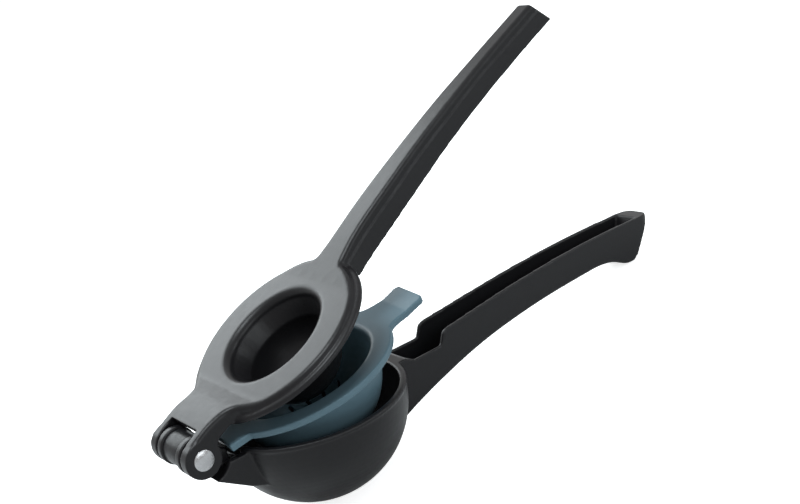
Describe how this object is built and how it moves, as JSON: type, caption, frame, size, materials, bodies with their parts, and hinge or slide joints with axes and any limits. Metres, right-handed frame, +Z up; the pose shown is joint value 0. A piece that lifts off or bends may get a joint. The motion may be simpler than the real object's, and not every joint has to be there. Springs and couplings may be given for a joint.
{
  "type": "lemon squeezer",
  "caption": "Hinged lemon squeezer: a bowl lever, a lever with a pressing dome, and a loose strainer cup with a thumb tab between them, shown half open.",
  "frame": {"origin": "centre of the bowl's flat foot, on the table plane", "axes": "+X from hinge towards the handles, +Z up from the table, Y across; the near side in the picture is -Y"},
  "size_m": [0.2203, 0.0702, 0.1158],
  "materials": {
    "lever_coat": "satin black coating over cast aluminium, fine grain",
    "strainer_plastic": "smooth satin blue-grey moulding",
    "pin_steel": "bright domed heads",
    "black_plastic": "smooth black"
  },
  "bodies": {
    "bowl_lever": {"lower_lever": "lever_coat", "hinge_spacer": "black_plastic", "washer_near": "black_plastic", "washer_far": "black_plastic"},
    "press_lever": {"upper_lever": "lever_coat", "hinge_pin": "pin_steel", "pin_end_cap": "pin_steel"},
    "strainer": {"strainer_insert": "strainer_plastic"}
  },
  "joints": [
    {"name": "lever_hinge", "type": "hinge", "parent": "bowl_lever", "child": "press_lever", "pos_m": [-0.04604, 0, 0.04616], "axis": [0, -1, 0], "range_deg": [-23.7, 83.3]},
    {"name": "strainer_tilt", "type": "hinge", "parent": "bowl_lever", "child": "strainer", "pos_m": [-0.04275, 0.00551, 0.043], "axis": [-0.1237, -0.9921, 0.0199], "range_deg": [-11.15, 39.12]}
  ],
  "couplings": [
    {"joint": "strainer_tilt", "follows": "lever_hinge", "ratio": 0.4684}
  ]
}
